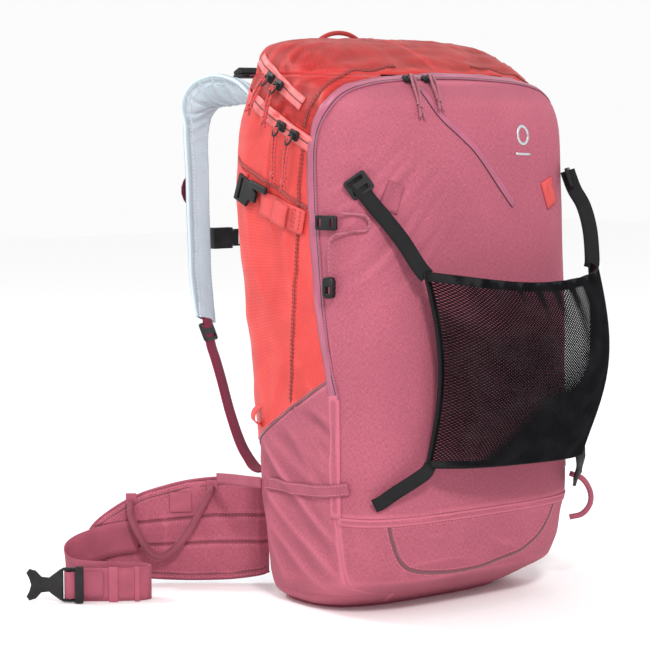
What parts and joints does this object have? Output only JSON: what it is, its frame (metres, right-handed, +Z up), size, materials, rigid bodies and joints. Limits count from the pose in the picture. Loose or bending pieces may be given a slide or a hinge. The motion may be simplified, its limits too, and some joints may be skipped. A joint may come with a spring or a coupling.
{
  "type": "ski backpack",
  "caption": "Ski touring backpack: zipped lid, drop-down front panel with stretch helmet net, padded shoulder straps and a folding hip belt.",
  "frame": {"origin": "centre of the flat base that the pack stands on", "axes": "+Z up the pack; -Y is the front, +Y faces the wearer; +X is the wearer's right"},
  "size_m": [0.7213, 0.5162, 0.6158],
  "materials": {
    "red_ripstop": "coated ripstop weave, slight sheen",
    "mauve_canvas": "heathered plain weave",
    "mauve_cord": "braided cord",
    "coral_cord": "braided cord",
    "coral_webbing": "woven webbing",
    "maroon_webbing": "woven webbing",
    "black_webbing": "woven webbing",
    "spacer_mesh": "spacer mesh lining",
    "stretch_net": "knitted stretch net",
    "lining": "coated lining",
    "black_plastic": "moulded, satin",
    "frame_sheet": "thermoformed sheet",
    "stay_aluminium": "brushed"
  },
  "bodies": {
    "pack": {"main_bag": "red_ripstop", "bottom_tub": "mauve_canvas", "frame_sheet": "frame_sheet", "stay_left": "stay_aluminium", "stay_right": "stay_aluminium", "back_pad_left": "spacer_mesh", "back_pad_right": "spacer_mesh", "lumbar_pad": "spacer_mesh", "compression_webbing": "coral_webbing", "rear_loop": "red_ripstop", "side_loop": "mauve_cord", "axe_bungee": "mauve_cord"},
    "lid": {"lid": "red_ripstop", "lid_liner": "lining"},
    "front_panel": {"front_flap": "mauve_canvas"},
    "net": {"helmet_net": "stretch_net", "net_strap_upper_left": "black_webbing", "net_strap_upper_right": "black_webbing", "net_strap_lower_left": "black_webbing", "net_strap_lower_right": "black_webbing", "net_lock_upper_left": "black_plastic", "net_lock_upper_right": "black_plastic", "net_lock_lower_right": "black_plastic"},
    "strap_left": {"shoulder_strap_left": "spacer_mesh", "strap_webbing_left": "maroon_webbing", "strap_lock_left": "black_plastic", "load_lifter_left": "maroon_webbing", "lifter_lock_left": "black_plastic"},
    "strap_right": {"shoulder_strap_right": "spacer_mesh", "strap_webbing_right": "maroon_webbing", "strap_lock_right": "black_plastic", "load_lifter_right": "maroon_webbing", "lifter_lock_right": "black_plastic"},
    "sternum_left": {"sternum_female": "black_plastic"},
    "sternum_right": {"sternum_slider": "black_plastic", "sternum_webbing": "maroon_webbing", "sternum_male": "black_plastic"},
    "wing_left": {"hip_wing_left": "mauve_canvas", "belt_webbing_left": "maroon_webbing"},
    "wing_right": {"hip_wing_right": "mauve_canvas", "belt_webbing_right": "maroon_webbing"},
    "gear_loop": {"gear_loop": "mauve_cord"},
    "belt_buckle_left": {"belt_buckle_male": "black_plastic"},
    "belt_buckle_right": {"belt_buckle_female": "black_plastic"},
    "handle": {"haul_handle": "coral_cord"},
    "hook": {"compression_hook": "black_plastic"},
    "axe_clip": {"axe_clip": "black_plastic"},
    "axe_cord_lock": {"axe_cord_lock": "black_plastic"},
    "lid_zip_slider_back": {"lid_zip_slider_back": "black_plastic"},
    "lid_pull_cord_back": {"lid_pull_cord_back": "coral_cord"},
    "lid_zip_slider_front": {"lid_zip_slider_front": "black_plastic"},
    "lid_pull_cord_front": {"lid_pull_cord_front": "coral_cord"},
    "main_zip_slider_back": {"main_zip_slider_back": "black_plastic"},
    "main_pull_cord_back": {"main_pull_cord_back": "coral_cord"},
    "main_zip_slider_front": {"main_zip_slider_front": "black_plastic"},
    "main_pull_cord_front": {"main_pull_cord_front": "coral_cord"},
    "front_zip_slider_left": {"front_zip_slider_left": "black_plastic"},
    "front_pull_cord_left": {"front_pull_cord_left": "mauve_cord"},
    "front_zip_slider_right": {"front_zip_slider_right": "black_plastic"},
    "front_pull_cord_right": {"front_pull_cord_right": "mauve_cord"}
  },
  "joints": [
    {"name": "lid_open", "type": "hinge", "parent": "pack", "child": "lid", "pos_m": [0, -0.1003, 0.5625], "axis": [1, 0, 0], "range_deg": [0, 100]},
    {"name": "panel_open", "type": "hinge", "parent": "pack", "child": "front_panel", "pos_m": [0, -0.1632, 0.1065], "axis": [1, 0, 0], "range_deg": [0, 70]},
    {"name": "net_drop", "type": "hinge", "parent": "front_panel", "child": "net", "pos_m": [0, -0.172, 0.13], "axis": [1, 0, 0], "range_deg": [0, 15]},
    {"name": "strap_swing_left", "type": "hinge", "parent": "pack", "child": "strap_left", "pos_m": [-0.064, 0.1035, 0.51], "axis": [0.1481, 0.1156, 0.9822], "range_deg": [0, 10]},
    {"name": "strap_swing_right", "type": "hinge", "parent": "pack", "child": "strap_right", "pos_m": [0.064, 0.1035, 0.51], "axis": [-0.1481, 0.1156, 0.9822], "range_deg": [-10, 0]},
    {"name": "sternum_slide_left", "type": "slide", "parent": "strap_left", "child": "sternum_left", "axis": [0, 0.0698, 0.9976], "range_m": [-0.02, 0.02]},
    {"name": "sternum_slide_right", "type": "slide", "parent": "strap_right", "child": "sternum_right", "axis": [0, 0.0698, 0.9976], "range_m": [-0.02, 0.02]},
    {"name": "wing_swing_left", "type": "hinge", "parent": "pack", "child": "wing_left", "pos_m": [-0.098, 0.084, 0.0605], "axis": [0, 0, 1], "range_deg": [-50, 20]},
    {"name": "belt_buckle_swing_left", "type": "hinge", "parent": "wing_left", "child": "belt_buckle_left", "pos_m": [-0.31881, 0.13283, 0.0195], "axis": [0, 0, 1], "range_deg": [-20, 20]},
    {"name": "wing_swing_right", "type": "hinge", "parent": "pack", "child": "wing_right", "pos_m": [0.098, 0.084, 0.0605], "axis": [0, 0, 1], "range_deg": [-20, 50]},
    {"name": "belt_buckle_swing_right", "type": "hinge", "parent": "wing_right", "child": "belt_buckle_right", "pos_m": [0.31881, 0.13283, 0.0195], "axis": [0, 0, 1], "range_deg": [-20, 20]},
    {"name": "gear_loop_swing", "type": "hinge", "parent": "wing_left", "child": "gear_loop", "pos_m": [-0.22626, 0.1684, 0.094], "axis": [-0.7771, 0.6075, -0.1644], "range_deg": [0, 60]},
    {"name": "handle_fold", "type": "hinge", "parent": "pack", "child": "handle", "pos_m": [0.006, 0.0935, 0.545], "axis": [1, 0, 0], "range_deg": [-60, 0]},
    {"name": "hook_swing", "type": "hinge", "parent": "pack", "child": "hook", "pos_m": [-0.16923, 0.04, 0.4455], "axis": [0, 0.3818, -0.9243], "range_deg": [0, 40]},
    {"name": "axe_clip_swing", "type": "hinge", "parent": "pack", "child": "axe_clip", "pos_m": [-0.1685, -0.0925, 0.4125], "axis": [0, 0, -1], "range_deg": [0, 35]},
    {"name": "axe_cord_lock_slide", "type": "slide", "parent": "pack", "child": "axe_cord_lock", "axis": [0, 0, 1], "range_m": [-0.02, 0]},
    {"name": "lid_slider_back_run", "type": "slide", "parent": "lid", "child": "lid_zip_slider_back", "axis": [0.1191, 0.8861, 0.448], "range_m": [0, 0.014]},
    {"name": "lid_pull_cord_back_swing", "type": "hinge", "parent": "lid_zip_slider_back", "child": "lid_pull_cord_back", "pos_m": [-0.1633, 0.00156, 0.5602], "axis": [0, 1, 0], "range_deg": [0, 50]},
    {"name": "lid_slider_front_run", "type": "slide", "parent": "lid", "child": "lid_zip_slider_front", "axis": [0.1191, 0.8861, 0.448], "range_m": [-0.014, 0]},
    {"name": "lid_pull_cord_front_swing", "type": "hinge", "parent": "lid_zip_slider_front", "child": "lid_pull_cord_front", "pos_m": [-0.1655, -0.01672, 0.55208], "axis": [0, 1, 0], "range_deg": [0, 50]},
    {"name": "main_slider_back_run", "type": "slide", "parent": "pack", "child": "main_zip_slider_back", "axis": [0, 0.922, 0.3872], "range_m": [0, 0.012]},
    {"name": "main_pull_cord_back_swing", "type": "hinge", "parent": "main_zip_slider_back", "child": "main_pull_cord_back", "pos_m": [-0.17282, -0.03074, 0.50876], "axis": [0, 1, 0], "range_deg": [0, 50]},
    {"name": "main_slider_front_run", "type": "slide", "parent": "pack", "child": "main_zip_slider_front", "axis": [0, 0.922, 0.3872], "range_m": [-0.016, 0]},
    {"name": "main_pull_cord_front_swing", "type": "hinge", "parent": "main_zip_slider_front", "child": "main_pull_cord_front", "pos_m": [-0.17311, -0.05314, 0.4998], "axis": [0, 1, 0], "range_deg": [0, 50]},
    {"name": "front_slider_left_run", "type": "slide", "parent": "front_panel", "child": "front_zip_slider_left", "axis": [1, 0, 0], "range_m": [-0.02, 0]},
    {"name": "front_pull_cord_left_swing", "type": "hinge", "parent": "front_zip_slider_left", "child": "front_pull_cord_left", "pos_m": [-0.06128, -0.11564, 0.563], "axis": [-1, 0, 0], "range_deg": [0, 50]},
    {"name": "front_slider_right_run", "type": "slide", "parent": "front_panel", "child": "front_zip_slider_right", "axis": [1, 0, 0], "range_m": [0, 0.05]},
    {"name": "front_pull_cord_right_swing", "type": "hinge", "parent": "front_zip_slider_right", "child": "front_pull_cord_right", "pos_m": [-0.03588, -0.11604, 0.56316], "axis": [-1, 0, 0], "range_deg": [0, 50]}
  ],
  "couplings": [
    {"joint": "sternum_slide_right", "follows": "sternum_slide_left", "ratio": 1}
  ]
}
